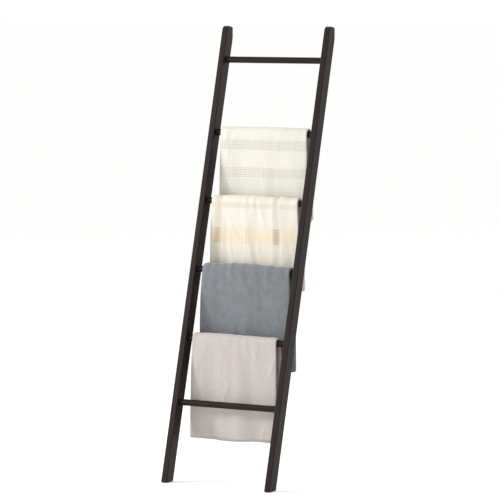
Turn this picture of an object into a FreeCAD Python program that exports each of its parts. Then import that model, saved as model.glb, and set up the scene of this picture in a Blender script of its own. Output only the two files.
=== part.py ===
import FreeCAD, Part
import math
import os

import Sketcher

# A blanket ladder: two flat wooden rails that lean back against a wall, six turned rungs
# tenoned and screwed between them, rubber feet, felt wall bumpers, and four folded throws
# hung over the rungs. Millimetres. +Z is up, X runs along the rungs and the wall is
# towards +Y. The origin is on the floor, in the middle of the ladder's width and depth.
#
# The left side is modelled, and the right side is its mirror image.

RUNG_COUNT = 6

SIZES = {
    # Rails: length along the slope, section, distance between their centre lines.
    "rail_length": 1829,
    "rail_width": 25.4,
    "rail_depth": 50.8,
    "rail_spacing": 463.5,
    "lean_angle": 15,
    "top_round": 20,
    "edge_ease": 3,
    "plumb_height": 52,
    # Rungs: the lowest is measured up the rail from its foot and the highest down from its
    # top end. The four between them are evenly spaced, and sit a little lower than an even
    # division of the whole would put them.
    "rung_diameter": 25.4,
    "first_rung": 313,
    "top_margin": 136,
    "rung_drop": 20,
    "tenon_diameter": 19,
    "tenon_length": 12,
    "tenon_ease": 1,
    "mortise_relief": 0.5,
    "wood_gap": 0.1,
    # Screws, one into each end of a rung, and the wooden plugs that hide them.
    "screw_length": 38,
    "screw_diameter": 4.4,
    "screw_tip": 5,
    "head_diameter": 8,
    "head_height": 3,
    "socket_width": 4,
    "socket_depth": 1.8,
    "pilot_spare": 3,
    "plug_diameter": 10,
    "plug_thickness": 5,
    "plug_proud": 0.8,
    "plug_ease": 0.6,
    # Rubber foot pads and felt wall bumpers.
    "foot_pad_thickness": 4,
    "foot_pad_inset": 1.5,
    "pad_corner": 3,
    "pad_ease": 1,
    "bumper_thickness": 4,
    "bumper_inset": 3.5,
    # Throws. Each is folded to six plies and hung over its rung: distances from the left
    # and the right rail, thickness of a ply, drop at the front and the back, depth of the
    # hanging folds, and how much lower the hem is in its middle than at its corners.
    "cloth_gap": 0.3,
    "cream_left_gap": 33,
    "cream_right_gap": 21.1,
    "cream_ply": 1.6,
    "cream_front_drop": 345,
    "cream_back_drop": 338,
    "cream_fold_depth": 5,
    "cream_hem_sag": 5,
    "ivory_left_gap": 31,
    "ivory_right_gap": 19.1,
    "ivory_ply": 1.4,
    "ivory_front_drop": 350,
    "ivory_back_drop": 336,
    "ivory_fold_depth": 6,
    "ivory_hem_sag": 6,
    "grey_left_gap": 25.5,
    "grey_right_gap": 16.6,
    "grey_ply": 1.6,
    "grey_front_drop": 402,
    "grey_back_drop": 386,
    "grey_fold_depth": 6,
    "grey_hem_sag": 8,
    "blush_left_gap": 25.5,
    "blush_right_gap": 34.6,
    "blush_ply": 1.3,
    "blush_front_drop": 386,
    "blush_back_drop": 372,
    "blush_fold_depth": 9,
    "blush_hem_sag": 7,
}

PLIES = 6

# Throws from the top down: name, number of the rung that carries it, and how many folds
# cross its front.
THROWS = (
    ("cream", 5, 2.5),
    ("ivory", 4, 3.0),
    ("grey", 3, 2.5),
    ("blush", 2, 2.5),
)
SECTIONS_PER_FOLD = 6
# A fold swings this share of its depth either side of half its depth. The back's folds lag
# the front's by a share of a fold. At the knee, a share of the drop down, a leg has swayed
# a share of what it does at the hem.
FOLD_SWING = 0.45
BACK_FOLD_LAG = 0.3
KNEE_DEPTH = 0.35
KNEE_SWAY = 0.6

# Expressions that several pieces share.
LEAN = "Sizes.lean_angle"
HALF_WIDTH = "Sizes.rail_width / 2"
HALF_DEPTH = "Sizes.rail_depth / 2"
LEFT_X = "-Sizes.rail_spacing / 2"
PLUMB_FOOT = f"(Sizes.rail_length - Sizes.plumb_height * cos({LEAN}))"
FRONT_REACH = f"Sizes.rail_depth / 2 / cos({LEAN})"
BACK_REACH = (
    f"({HALF_DEPTH} * cos({LEAN}) + {PLUMB_FOOT} * sin({LEAN}) + Sizes.bumper_thickness)"
)
FOOT_Y = f"(({FRONT_REACH} - {BACK_REACH}) / 2)"
INNER_FACE = "(Sizes.rail_spacing / 2 - Sizes.rail_width / 2)"
RUNG_SPREAD = "(Sizes.rail_length - Sizes.top_margin - Sizes.first_rung)"
RUNG_PITCH = f"({RUNG_SPREAD} / {RUNG_COUNT - 1})"
SECOND_RUNG = f"(Sizes.first_rung + {RUNG_PITCH} - Sizes.rung_drop)"
# The two end rungs and the four between them, as evenly spaced rows up a rail: name, place
# of the lowest, how far the row reaches and how many rungs are in it.
RUNG_ROWS = (
    ("end", "Sizes.first_rung", RUNG_SPREAD, 2),
    ("middle", SECOND_RUNG, f"({RUNG_PITCH} * {RUNG_COUNT - 3})", RUNG_COUNT - 2),
)
MORTISE_DEPTH = "(Sizes.tenon_length + Sizes.mortise_relief)"
COUNTERBORE_DEPTH = "(Sizes.plug_thickness + Sizes.head_height - Sizes.plug_proud)"
PILOT_DEPTH = (
    f"(Sizes.screw_length + Sizes.pilot_spare - Sizes.rail_width + {COUNTERBORE_DEPTH}"
    " + Sizes.tenon_length)"
)

doc = FreeCAD.newDocument("BlanketLadder")
sheet = doc.addObject("Spreadsheet::Sheet", "Sizes")
for row, (alias, value) in enumerate(SIZES.items(), start=1):
    sheet.set(f"A{row}", alias)
    sheet.set(f"B{row}", str(value))
    sheet.setAlias(f"B{row}", alias)
doc.recompute()


def origin_feature(body, role):
    """One of the body's own origin planes or axes."""
    return next(part for part in body.Origin.OriginFeatures if part.Role == role)


def new_body(name, x, y, z, leaning=True):
    """An empty body placed by three expressions, turned back by the lean where asked."""
    body = doc.addObject("PartDesign::Body", name)
    body.Label = name
    if leaning:
        body.Placement.Rotation = FreeCAD.Rotation(FreeCAD.Vector(-1, 0, 0), SIZES["lean_angle"])
        body.setExpression("Placement.Rotation.Angle", LEAN)
    for axis, place in zip("xyz", (x, y, z)):
        body.setExpression(f"Placement.Base.{axis}", place)
    return body


def new_sketch(body, name, plane, offset=None):
    """A sketch on one of the body's origin planes, or at a distance along its normal."""
    sketch = body.newObject("Sketcher::SketchObject", name)
    sketch.AttachmentSupport = (origin_feature(body, plane), [""])
    sketch.MapMode = "FlatFace"
    if offset:
        sketch.setExpression("AttachmentOffset.Base.z", offset)
    return sketch


def hold_point(sketch, geometry, point, across, up):
    """Two signed distances from the sketch's origin hold a point in place."""
    for kind, place in (("DistanceX", across), ("DistanceY", up)):
        start = float(sketch.evalExpression(place))
        index = sketch.addConstraint(Sketcher.Constraint(kind, geometry, point, start))
        sketch.setExpression(f"Constraints[{index}]", place)


def outline(body, name, plane, corners, offset=None):
    """A closed outline of straight lines through corners given as expressions."""
    sketch = new_sketch(body, name, plane, offset)
    places = [
        FreeCAD.Vector(*(float(sketch.evalExpression(text)) for text in corner), 0)
        for corner in corners
    ]
    count = len(corners)
    for index in range(count):
        line = Part.LineSegment(places[index], places[(index + 1) % count])
        sketch.addGeometry(line, False)
    for index in range(count):
        sketch.addConstraint(
            Sketcher.Constraint("Coincident", index, 2, (index + 1) % count, 1)
        )
    for index, corner in enumerate(corners):
        hold_point(sketch, index, 1, *corner)
    return sketch


def circle(body, name, plane, across, up, diameter, offset=None):
    """A circle whose centre and diameter are expressions."""
    sketch = new_sketch(body, name, plane, offset)
    centre = FreeCAD.Vector(
        float(sketch.evalExpression(across)), float(sketch.evalExpression(up)), 0
    )
    radius = float(sketch.evalExpression(diameter)) / 2
    sketch.addGeometry(Part.Circle(centre, FreeCAD.Vector(0, 0, 1), radius), False)
    hold_point(sketch, 0, 3, across, up)
    index = sketch.addConstraint(Sketcher.Constraint("Diameter", 0, radius * 2))
    sketch.setExpression(f"Constraints[{index}]", diameter)
    return sketch


def pad(body, name, sketch, length, symmetric=False):
    feature = body.newObject("PartDesign::Pad", name)
    feature.Profile = sketch
    if symmetric:
        feature.SideType = "Symmetric"
    feature.setExpression("Length", length)
    return feature


def pocket(body, name, sketch, depth, outwards=False):
    """A cut from the sketch against its normal, or along it where outwards is set."""
    feature = body.newObject("PartDesign::Pocket", name)
    feature.Profile = sketch
    feature.Reversed = outwards
    feature.setExpression("Length", depth)
    return feature


def turned(body, name, corners):
    """A solid of revolution about the body's X axis, from half its lengthwise section."""
    feature = body.newObject("PartDesign::Revolution", name)
    sketch = outline(body, f"{name}_profile", "XY_Plane", corners)
    feature.Profile = sketch
    feature.ReferenceAxis = (sketch, ["H_Axis"])
    feature.Angle = 360
    return feature


def eased(body, name, base, kind, size, wanted):
    """A fillet or chamfer on those edges of a feature that a test picks."""
    doc.recompute()
    edges = base.Shape.Edges
    picked = [f"Edge{number}" for number, edge in enumerate(edges, start=1) if wanted(edge)]
    feature = body.newObject(f"PartDesign::{kind}", name)
    feature.Base = (base, picked)
    feature.setExpression("Radius" if kind == "Fillet" else "Size", size)
    return feature


def along_rail(body, originals, row, reach, count):
    """Copies of the features at each rung of a row, up the body's Z axis."""
    feature = body.newObject("PartDesign::LinearPattern", f"{body.Name}_{row}_rungs")
    feature.Originals = originals
    feature.Direction = (origin_feature(body, "Z_Axis"), [""])
    feature.setExpression("Length", reach)
    feature.Occurrences = count
    body.Tip = feature
    return feature


def spans(edge, axis):
    """How far an edge reaches along one axis."""
    box = edge.BoundBox
    return {"x": box.XLength, "y": box.YLength, "z": box.ZLength}[axis]


def mirrored(name, source):
    """The right-hand copy of a left-hand piece."""
    copy = doc.addObject("Part::Mirroring", name)
    copy.Label = name
    copy.Source = source
    copy.Normal = (1, 0, 0)
    copy.Base = (0, 0, 0)
    return copy


# ---- Rails ---------------------------------------------------------------------------


def make_rail():
    """The left rail, upright in its own frame: foot cut level and back of the top plumb."""
    body = new_body("left_rail", LEFT_X, FOOT_Y, "Sizes.foot_pad_thickness")
    side = outline(
        body,
        "rail_side",
        "YZ_Plane",
        (
            (f"-{HALF_DEPTH}", f"-{HALF_DEPTH} * tan({LEAN})"),
            (HALF_DEPTH, f"{HALF_DEPTH} * tan({LEAN})"),
            (HALF_DEPTH, PLUMB_FOOT),
            (f"{HALF_DEPTH} - Sizes.plumb_height * sin({LEAN})", "Sizes.rail_length"),
            (f"-{HALF_DEPTH}", "Sizes.rail_length"),
        ),
    )
    bar = pad(body, "rail_bar", side, "Sizes.rail_width", symmetric=True)
    front = -SIZES["rail_depth"] / 2
    top = SIZES["rail_length"]

    def top_front_corner(edge):
        middle = edge.CenterOfMass
        level = abs(middle.z - top) < 0.01 and abs(middle.y - front) < 0.01
        return level and spans(edge, "x") > 1

    rounded = eased(body, "rail_top", bar, "Fillet", "Sizes.top_round", top_front_corner)
    plumb_foot = top - SIZES["plumb_height"]

    def long_or_top_edge(edge):
        """The outline of each broad side, apart from the foot cut and the plumb cut."""
        flat = spans(edge, "x") < 0.01
        tall = spans(edge, "z") > SIZES["rail_length"] / 2
        over_top = edge.CenterOfMass.z > plumb_foot and edge.CenterOfMass.y < 0
        return flat and (tall or over_top)

    soft = eased(body, "rail_edges", rounded, "Fillet", "Sizes.edge_ease", long_or_top_edge)
    body.Tip = soft
    for row, lowest, reach, count in RUNG_ROWS:
        mortise_face = circle(
            body, f"{row}_mortise_face", "YZ_Plane", "0", lowest,
            "Sizes.tenon_diameter + Sizes.wood_gap * 2", HALF_WIDTH,
        )
        mortise = pocket(body, f"{row}_mortise", mortise_face, MORTISE_DEPTH)
        counterbore_face = circle(
            body, f"{row}_counterbore_face", "YZ_Plane", "0", lowest,
            "Sizes.plug_diameter + Sizes.wood_gap * 2", f"-{HALF_WIDTH}",
        )
        counterbore = pocket(
            body, f"{row}_counterbore", counterbore_face, COUNTERBORE_DEPTH, True
        )
        screw_face = circle(
            body, f"{row}_screw_face", "YZ_Plane", "0", lowest,
            "Sizes.screw_diameter + Sizes.wood_gap * 2", f"-{HALF_WIDTH}",
        )
        screw_hole = pocket(
            body, f"{row}_screw_hole", screw_face, "Sizes.rail_width", True
        )
        along_rail(body, [mortise, counterbore, screw_hole], row, reach, count)
    return body


left_rail = make_rail()

# ---- Rungs ---------------------------------------------------------------------------


def rung_place(number):
    """Where a rung's axis lies, as expressions for Y and Z; rung 1 is the lowest."""
    drop = "Sizes.rung_drop" if 1 < number < RUNG_COUNT else "0"
    up_rail = f"(Sizes.first_rung + {RUNG_PITCH} * {number - 1} - {drop})"
    y = f"{FOOT_Y} + {up_rail} * sin({LEAN})"
    z = f"Sizes.foot_pad_thickness + {up_rail} * cos({LEAN})"
    return y, z


def make_rung(number):
    """A turned rung: shoulders against the rails, a tenon and a pilot hole at each end."""
    y, z = rung_place(number)
    body = new_body(f"rung_{number}", "0", y, z, leaning=False)
    end = f"({INNER_FACE} + Sizes.tenon_length)"
    inner_end = f"({end} - {PILOT_DEPTH})"
    pilot = "Sizes.screw_diameter / 2"
    tenon = "Sizes.tenon_diameter / 2"
    barrel = "Sizes.rung_diameter / 2"
    half = (
        (inner_end, "0"),
        (inner_end, pilot),
        (end, pilot),
        (end, f"{tenon} - Sizes.tenon_ease"),
        (f"{end} - Sizes.tenon_ease", tenon),
        (INNER_FACE, tenon),
        (INNER_FACE, barrel),
    )
    other_half = tuple((f"-({across})", up) for across, up in reversed(half))
    body.Tip = turned(body, f"rung_{number}_turning", half + other_half)
    return body


rungs = [make_rung(number) for number in range(1, RUNG_COUNT + 1)]

# ---- Screws and plugs ----------------------------------------------------------------


def make_screws():
    """The left side's screws: heads in the counterbores, shanks through to the rungs."""
    head_top = f"{LEFT_X} - {HALF_WIDTH} - Sizes.plug_proud + Sizes.plug_thickness"
    body = new_body("left_rung_screws", head_top, FOOT_Y, "Sizes.foot_pad_thickness")
    head = "Sizes.head_diameter / 2"
    shank = "Sizes.screw_diameter / 2"
    under_head = "Sizes.head_height"
    tip = "(Sizes.head_height + Sizes.screw_length)"
    half = (
        ("0", "0"),
        ("0", head),
        (under_head, head),
        (under_head, shank),
        (f"{tip} - Sizes.screw_tip", shank),
        (tip, "0"),
    )
    corner_reach = "Sizes.socket_width / 2 / cos(30)"
    for row, lowest, reach, count in RUNG_ROWS:
        lifted = [(across, f"{lowest} + {up}") for across, up in half]
        profile = outline(body, f"{row}_screw_profile", "XZ_Plane", lifted)
        screw = body.newObject("PartDesign::Revolution", f"{row}_screw")
        screw.Profile = profile
        height = float(profile.evalExpression(lowest))
        axis_line = Part.LineSegment(
            FreeCAD.Vector(0, height, 0), FreeCAD.Vector(1, height, 0)
        )
        axis_index = profile.addGeometry(axis_line, True)
        hold_point(profile, axis_index, 1, "0", lowest)
        hold_point(profile, axis_index, 2, tip, lowest)
        screw.ReferenceAxis = (profile, ["Axis0"])
        screw.Angle = 360
        corners = [
            (f"{corner_reach} * cos({step * 60})",
             f"{lowest} + {corner_reach} * sin({step * 60})")
            for step in range(6)
        ]
        socket_face = outline(body, f"{row}_socket_face", "YZ_Plane", corners)
        socket = pocket(body, f"{row}_socket", socket_face, "Sizes.socket_depth", True)
        along_rail(body, [screw, socket], row, reach, count)
    return body


def make_plugs():
    """The left side's plugs, each seated on its screw's head and a little proud."""
    face = f"{LEFT_X} - {HALF_WIDTH} - Sizes.plug_proud"
    body = new_body("left_screw_plugs", face, FOOT_Y, "Sizes.foot_pad_thickness")
    for row, lowest, reach, count in RUNG_ROWS:
        disc = circle(
            body, f"{row}_plug_face", "YZ_Plane", "0", lowest, "Sizes.plug_diameter"
        )
        height = float(disc.evalExpression(lowest))
        plug = pad(body, f"{row}_plug", disc, "Sizes.plug_thickness")

        def outer_rim(edge, middle=height):
            flat = abs(edge.CenterOfMass.x) < 0.01 and spans(edge, "x") < 0.01
            return flat and abs(edge.CenterOfMass.z - middle) < 1

        rim = eased(body, f"{row}_plug_rim", plug, "Chamfer", "Sizes.plug_ease", outer_rim)
        along_rail(body, [plug, rim], row, reach, count)
    return body


left_rung_screws = make_screws()
left_screw_plugs = make_plugs()

# ---- Foot pads and wall bumpers ------------------------------------------------------


def rectangle(width, height):
    """Corners of a rectangle about the origin, as expressions."""
    signs = ((-1, -1), (1, -1), (1, 1), (-1, 1))
    return [(f"{across} * ({width}) / 2", f"{up} * ({height}) / 2") for across, up in signs]


def make_foot_pad():
    """A rubber pad that covers the level foot of the left rail."""
    body = new_body("left_foot_pad", LEFT_X, FOOT_Y, "0", leaning=False)
    width = "Sizes.rail_width - Sizes.foot_pad_inset * 2"
    depth = f"Sizes.rail_depth / cos({LEAN}) - Sizes.foot_pad_inset * 2"
    face = outline(body, "foot_pad_face", "XY_Plane", rectangle(width, depth))
    block = pad(body, "foot_pad_block", face, "Sizes.foot_pad_thickness")
    corners = eased(
        body, "foot_pad_corners", block, "Fillet", "Sizes.pad_corner",
        lambda edge: spans(edge, "z") > 1,
    )
    body.Tip = eased(
        body, "foot_pad_rim", corners, "Chamfer", "Sizes.pad_ease",
        lambda edge: edge.BoundBox.ZMax < 0.01,
    )
    return body


def make_bumper():
    """A felt pad on the plumb face at the top of the left rail."""
    y = f"{FOOT_Y} + {BACK_REACH} - Sizes.bumper_thickness"
    z = (
        f"Sizes.foot_pad_thickness - {HALF_DEPTH} * sin({LEAN}) + {PLUMB_FOOT} * cos({LEAN})"
        " + Sizes.plumb_height / 2"
    )
    body = new_body("left_wall_bumper", LEFT_X, y, z, leaning=False)
    width = "Sizes.rail_width - Sizes.bumper_inset * 2"
    height = "Sizes.plumb_height - Sizes.bumper_inset * 2"
    face = outline(body, "bumper_face", "XZ_Plane", rectangle(width, height))
    block = pad(body, "bumper_block", face, "Sizes.bumper_thickness")
    block.Reversed = True
    corners = eased(
        body, "bumper_corners", block, "Fillet", "Sizes.pad_corner",
        lambda edge: spans(edge, "y") > 1,
    )
    body.Tip = eased(
        body, "bumper_rim", corners, "Chamfer", "Sizes.pad_ease",
        lambda edge: edge.BoundBox.YMin > SIZES["bumper_thickness"] - 0.01,
    )
    return body


left_foot_pad = make_foot_pad()
left_wall_bumper = make_bumper()

left_pieces = (left_rail, left_rung_screws, left_screw_plugs, left_foot_pad, left_wall_bumper)
right_pieces = [
    mirrored(piece.Name.replace("left", "right", 1), piece) for piece in left_pieces
]

# ---- Throws --------------------------------------------------------------------------


def throw_section(across, width, folds, sizes):
    """The outline of a hung throw in the upright plane at one place along its rung.

    Two legs join over the rung by half a ring. The folds push each leg outwards, away
    from the rung, from nothing at the rung to their full depth at the hem.
    """
    inner = SIZES["rung_diameter"] / 2 + SIZES["cloth_gap"]
    outer = inner + sizes["ply"] * PLIES
    turn = across / width + 0.5
    sag = sizes["hem_sag"] * (math.sin(math.pi * turn) - 0.5)
    legs = []
    for side, drop, lag in ((-1, "front_drop", 0.0), (1, "back_drop", BACK_FOLD_LAG)):
        swell = 0.5 + FOLD_SWING * math.sin(2 * math.pi * (folds * turn + lag))
        sway = side * sizes["fold_depth"] * swell
        hem = -sizes[drop] - sag
        legs.append((side, sway, hem))

    def point(y, z):
        return FreeCAD.Vector(across, y, z)

    def leg(radius, side, sway, hem):
        """Corner points of one face of a leg, from the rung down."""
        return [
            point(side * radius, 0),
            point(side * radius + sway * KNEE_SWAY, hem * KNEE_DEPTH),
            point(side * radius + sway, hem),
        ]

    def crown(radius, side):
        """The quarter ring from one leg's top to the top of the rung."""
        half_way = math.sqrt(0.5) * radius
        return Part.Arc(
            point(side * radius, 0), point(side * half_way, half_way), point(0, radius)
        )

    front, back = legs
    outer_front = leg(outer, *front)
    outer_back = leg(outer, *back)
    inner_front = leg(inner, *front)
    inner_back = leg(inner, *back)
    edges = [
        Part.LineSegment(outer_front[2], outer_front[1]),
        Part.LineSegment(outer_front[1], outer_front[0]),
        crown(outer, -1),
        crown(outer, 1),
        Part.LineSegment(outer_back[0], outer_back[1]),
        Part.LineSegment(outer_back[1], outer_back[2]),
        Part.LineSegment(outer_back[2], inner_back[2]),
        Part.LineSegment(inner_back[2], inner_back[1]),
        Part.LineSegment(inner_back[1], inner_back[0]),
        crown(inner, 1),
        crown(inner, -1),
        Part.LineSegment(inner_front[0], inner_front[1]),
        Part.LineSegment(inner_front[1], inner_front[2]),
        Part.LineSegment(inner_front[2], outer_front[2]),
    ]
    return Part.Wire(Part.__sortEdges__([edge.toShape() for edge in edges]))


def make_throw(name, number, folds):
    """A folded throw over one rung: a loft through upright sections along the rung."""
    sizes = {
        key: SIZES[f"{name}_{key}"]
        for key in ("ply", "front_drop", "back_drop", "fold_depth", "hem_sag")
    }
    gaps = SIZES[f"{name}_left_gap"] + SIZES[f"{name}_right_gap"]
    width = SIZES["rail_spacing"] - SIZES["rail_width"] - gaps
    steps = int(folds * SECTIONS_PER_FOLD)
    places = [width * (step / steps - 0.5) for step in range(steps + 1)]
    sections = [throw_section(across, width, folds, sizes) for across in places]
    throw = doc.addObject("Part::Feature", f"{name}_throw")
    throw.Label = f"{name}_throw"
    throw.Shape = Part.makeLoft(sections, True, False)
    y, z = rung_place(number)
    middle = f"(Sizes.{name}_left_gap - Sizes.{name}_right_gap) / 2"
    for axis, place in zip("xyz", (middle, y, z)):
        throw.setExpression(f"Placement.Base.{axis}", place)
    return throw


throws = [make_throw(*throw) for throw in THROWS]

# ---- Finish --------------------------------------------------------------------------

doc.recompute()
for thing in doc.Objects:
    if "Invalid" in thing.State or "Error" in thing.State:
        raise RuntimeError(f"{thing.Name} failed: {thing.State}")

pieces = [*left_pieces, *right_pieces, *rungs, *throws]
for piece in pieces:
    if piece.Shape.isNull() or not piece.Shape.isValid():
        raise RuntimeError(f"{piece.Label} has no valid shape")

os.makedirs("parts", exist_ok=True)
for piece in pieces:
    piece.Shape.exportStep(f"parts/{piece.Label}.step")
    box = piece.Shape.BoundBox
    print(
        f"{piece.Label}: {len(piece.Shape.Solids)} solids, {piece.Shape.Volume:.0f} mm3,"
        f" X {box.XMin:.1f} to {box.XMax:.1f}, Y {box.YMin:.1f} to {box.YMax:.1f},"
        f" Z {box.ZMin:.1f} to {box.ZMax:.1f}"
    )
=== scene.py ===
"""A leaning blanket ladder in espresso-stained hardwood, hung with four folded throws.

Everything is in metres, in the frame of the packed model: Z up, X along the rungs and the
wall towards +Y. The ladder's own pieces keep their shapes and get their finishes here. The
throws are modelled here as whole cloths, folded to six plies and hung over their rungs.
"""

import math

import bmesh
import bpy
import numpy as np
from bpy.props import FloatProperty, FloatVectorProperty, IntProperty, PointerProperty
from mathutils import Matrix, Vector


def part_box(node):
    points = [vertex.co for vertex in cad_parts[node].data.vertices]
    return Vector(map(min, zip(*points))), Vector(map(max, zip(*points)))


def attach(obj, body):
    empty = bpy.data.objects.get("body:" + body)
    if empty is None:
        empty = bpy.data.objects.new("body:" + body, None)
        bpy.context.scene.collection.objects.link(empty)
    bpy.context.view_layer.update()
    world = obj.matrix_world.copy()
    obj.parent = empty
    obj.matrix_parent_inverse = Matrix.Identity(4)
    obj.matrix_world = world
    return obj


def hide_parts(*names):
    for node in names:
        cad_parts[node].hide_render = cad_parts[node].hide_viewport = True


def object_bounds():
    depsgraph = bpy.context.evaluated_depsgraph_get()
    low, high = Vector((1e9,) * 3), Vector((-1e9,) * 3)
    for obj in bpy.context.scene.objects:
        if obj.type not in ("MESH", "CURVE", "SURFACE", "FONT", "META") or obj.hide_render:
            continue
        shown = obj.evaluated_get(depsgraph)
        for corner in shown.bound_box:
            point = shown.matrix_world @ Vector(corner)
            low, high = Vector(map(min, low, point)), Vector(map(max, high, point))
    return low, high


bl_info = {
    "name": "Blanket Ladder",
    "version": (1, 0, 0),
    "blender": (4, 5, 0),
    "location": "View3D > Sidebar > Blanket Ladder",
    "description": "Dresses a leaning blanket ladder and hangs folded throws over its rungs",
    "category": "Add Mesh",
}

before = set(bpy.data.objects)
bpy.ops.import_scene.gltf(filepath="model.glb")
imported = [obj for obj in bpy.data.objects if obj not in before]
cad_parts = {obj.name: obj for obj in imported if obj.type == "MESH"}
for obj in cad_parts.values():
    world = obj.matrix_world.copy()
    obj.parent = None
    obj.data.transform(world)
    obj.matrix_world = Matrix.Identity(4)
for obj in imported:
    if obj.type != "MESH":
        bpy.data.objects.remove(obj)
CAD_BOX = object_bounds()

MM = 0.001
FULL_TURN = 2 * math.pi

# A throw is folded in three across and in half along, and rests on its rung with a gap.
PANELS = 3
PLIES = 2 * PANELS
CLOTH_GAP = 0.3 * MM
# A throw's edges wander in and out of its solid's sides, this far out at most.
EDGE_SPREAD = 6 * MM
# Over the rung a throw puffs up, in a dome this share of its width wide, and draws in.
# Both fade out about this far down a leg.
DOME = 0.3
PUFF_REACH = 75 * MM
PINCH_REACH = 65 * MM
# Down a leg the plies loosen and the sides flare, by these shares at the hem.
LOOSENING = 0.14
HEM_FLARE = 0.012
# Creases and ridges fade out this close to the outermost layer's fold lines.
RELIEF_MARGIN = 8 * MM
# How far the hem's corners stray up or down, layer by layer.
HEM_STRAY = 2.2 * MM
# Samples of the plies that hardly show, across them and down a leg, and of each turn.
HIDDEN_STEP = 12 * MM
HIDDEN_LEG_STEP = 20 * MM
TURN_STEPS = 6
# The fine samples over the rung go this far past it on either side.
CROWN_MARGIN = 12 * MM
CREASES = 34
# Shares of its solid's thickness that a felt bumper has, moves towards the wood and swells.
PAD_THICK, PAD_SETBACK, PAD_CROWN = 0.84, 0.08, 0.15

FLOOR_RADIUS = 180.0
# The photograph's frame has its middle this far right of the ladder's, and above it.
AIM_RIGHT, AIM_UP = 0.007, 0.016
# Name, place, size and watts.
LIGHTS = (
    ("key_light", (-4.4, -2.6, 2.5), 1.0, 195.0),
    ("fill_light", (0.6, -5.2, 0.3), 2.5, 27.0),
    ("back_light", (1.5, 4.2, 3.6), 2.6, 60.0),
)


def linear(code):
    """An sRGB hex colour as linear RGBA."""
    channels = (int(code[place:place + 2], 16) / 255 for place in (1, 3, 5))
    return (
        *(c / 12.92 if c <= 0.04045 else ((c + 0.055) / 1.055) ** 2.4 for c in channels),
        1.0,
    )


def grey(value):
    return (value, value, value, 1.0)


def darker(colour, share):
    return (*(channel * share for channel in colour[:3]), 1.0)


# ---- Sizes and colours that a user would change ----


def shade(name, description, code):
    """A colour property whose default is an sRGB hex colour."""
    return FloatVectorProperty(
        name=name, description=description, subtype="COLOR", size=4, min=0, max=1,
        default=linear(code),
    )


def length(name, description, millimetres):
    """A length property whose default is given in millimetres."""
    return FloatProperty(
        name=name, description=description, unit="LENGTH", min=0,
        default=millimetres * MM,
    )


HANG = {
    "cloth_length": "Length of the throw before it is folded",
    "front_drop": "How far the front hangs below its rung",
    "fold_depth": "Depth of the hanging folds at the hem",
    "hem_sag": "How far the hem's middle hangs below its corners",
    "hem_skew": "How far the front hem rises from left to right",
    "gather_left": "How far the left edge draws in on the rung",
    "gather_right": "How far the right edge draws in on the rung",
    "puff": "How far the outer plies stand up over the rung",
}


def hangs(puff_place, **millimetres):
    """Adds the sizes that say how a throw hangs, all in millimetres, to its settings."""
    def extend(group):
        for field, description in HANG.items():
            group.__annotations__[field] = FloatProperty(
                name=field.replace("_", " ").capitalize(), description=description,
                unit="LENGTH", default=millimetres[field] * MM,
            )
        group.__annotations__["puff_place"] = FloatProperty(
            name="Puff place", description="Where it stands highest, from left to right",
            default=puff_place, min=0, max=1,
        )
        return group
    return extend


class LadderWood(bpy.types.PropertyGroup):
    """Espresso-stained hardwood under satin lacquer"""

    stain_deep: shade("Deep stain", "Stain in the late wood and the pores", "#080504")
    stain: shade("Stain", "Stain over most of the board", "#150d0a")
    stain_light: shade("Light stain", "Stain on the early wood", "#271914")
    worn: shade("Worn edge", "Wood that shows through on the eased edges", "#40291f")
    ring_width: length("Ring width", "Width of one year's growth", 5.5)
    grain_width: length("Grain width", "Width of a streak of grain", 2.6)
    grain_length: length("Grain length", "Length of a streak of grain", 85)
    edge_ease: length("Eased edge", "How far the wear reaches from a rail's corner", 3.4)


class LadderFittings(bpy.types.PropertyGroup):
    """Rubber feet, felt wall bumpers and zinc-plated screws"""

    rubber: shade("Rubber", "Moulded rubber of the foot pads", "#1c1b1b")
    zinc: shade("Zinc", "Zinc plating of the rung screws", "#b9bbbd")
    felt: shade("Felt", "Pressed wool felt of the wall bumpers", "#4b3b34")
    felt_light: shade("Light felt", "Paler fibres in the felt", "#7a665b")
    fibre_length: length("Fibre length", "Length of the felt's loose fibres", 1.6)
    fibres: IntProperty(
        name="Fibres", description="Loose fibres on each bumper", default=700, min=0
    )


@hangs(
    cloth_length=1478, front_drop=345, fold_depth=7, hem_sag=4, hem_skew=-3, gather_left=2,
    gather_right=4, puff=4, puff_place=0.55,
)
class CreamKnit(bpy.types.PropertyGroup):
    """Cotton knit with garter ridges across it"""

    yarn: shade("Yarn", "Cotton yarn on top of the stitches", "#e0dfd6")
    # The hollow colour is painted shade: the same yarn, painted darker where the stitches sink.
    hollow_shade: shade("Hollow", "Yarn in the hollows between stitches", "#c4bfb2")
    stitch_width: length("Stitch width", "Width of a knitted stitch", 12)
    stitch_height: length("Stitch height", "Height of a knitted stitch", 9)
    band_spacing: length("Band spacing", "Distance between bands of garter ridges", 108)
    first_band: length("First band", "From the hem in front to the first band", 78)
    ridge_spacing: length("Ridge spacing", "Distance between the ridges of a band", 9)
    ridge_height: length("Ridge height", "Height of a garter ridge", 2.2)


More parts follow.
